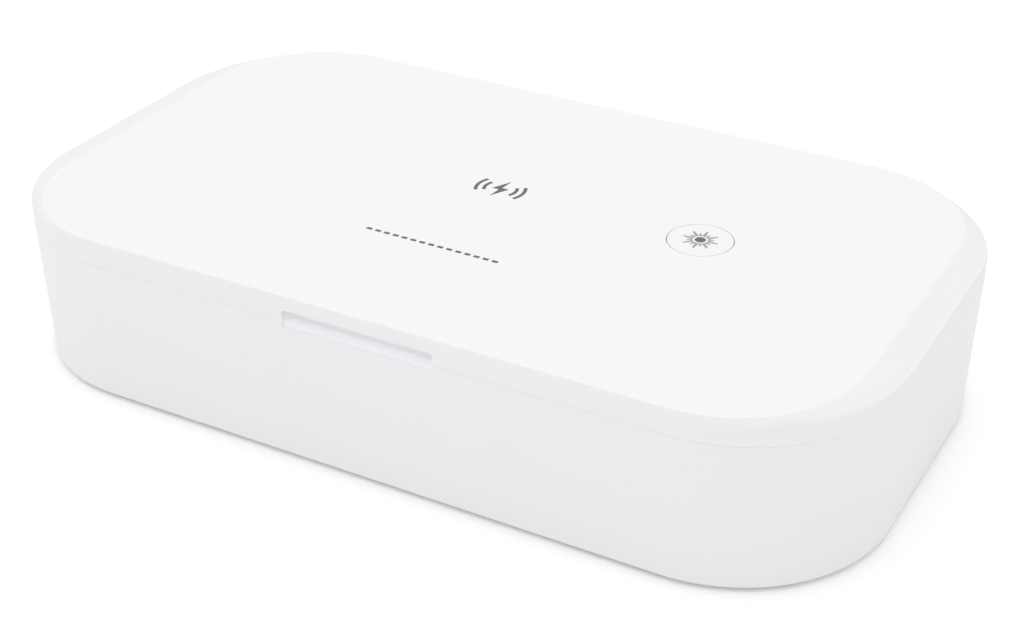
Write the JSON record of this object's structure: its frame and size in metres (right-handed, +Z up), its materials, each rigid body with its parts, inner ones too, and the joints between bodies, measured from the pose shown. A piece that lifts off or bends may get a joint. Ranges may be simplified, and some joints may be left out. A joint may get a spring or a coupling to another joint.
{
  "type": "uv sanitizer box",
  "caption": "Shallow white rounded box with a hinged lid that charges a phone on top, a flush round button, and a mirrored ultraviolet chamber inside.",
  "frame": {"origin": "on the table under the middle of the box", "axes": "+X along the box towards the button end, +Y to the hinge at the back, +Z up; the finger notch faces -Y"},
  "size_m": [0.22, 0.123, 0.043],
  "materials": {
    "white_plastic": "fine satin moulding",
    "metallised_plastic": "vacuum metallised",
    "rubber": "soft matt",
    "steel": "bright",
    "magnet": "nickel plated",
    "board": "solder mask",
    "lamp_board": "white solder mask on metal core",
    "black_plastic": "matt",
    "lamp": "ceramic package",
    "quartz": "clear",
    "copper": "enamelled wire",
    "ferrite": "sintered"
  },
  "bodies": {
    "base": {"base_harness": "black_plastic", "base_lamp_boards": "lamp_board", "base_lamps": "lamp", "base_shell": "white_plastic", "base_windows": "quartz", "chamber_tray": "metallised_plastic", "hinge_pins": "steel", "lid_bumpers": "rubber", "lid_magnet": "magnet", "power_board": "board", "power_parts": "black_plastic", "rubber_feet": "rubber", "tray_screws": "steel", "usb_socket": "steel", "usb_tongue": "black_plastic"},
    "lid": {"button_switch": "black_plastic", "charging_coil": "copper", "control_board": "board", "control_parts": "black_plastic", "ferrite_sheet": "ferrite", "hall_sensor": "black_plastic", "lid_harness": "black_plastic", "lid_lamp_strips": "lamp_board", "lid_lamps": "lamp", "lid_liner": "metallised_plastic", "lid_shell": "white_plastic", "lid_windows": "quartz", "status_leds": "lamp"},
    "button": {"button_cap": "white_plastic", "switch_stem": "black_plastic"}
  },
  "joints": [
    {"name": "lid_hinge", "type": "hinge", "parent": "base", "child": "lid", "pos_m": [0, 0.0583, 0.03215], "axis": [-1, 0, 0], "range_deg": [0, 105]},
    {"name": "button_press", "type": "slide", "parent": "lid", "child": "button", "axis": [0, 0, -1], "range_m": [0, 0.0005], "stiffness_N_per_m": 3000, "springref_m": -0.0001}
  ]
}
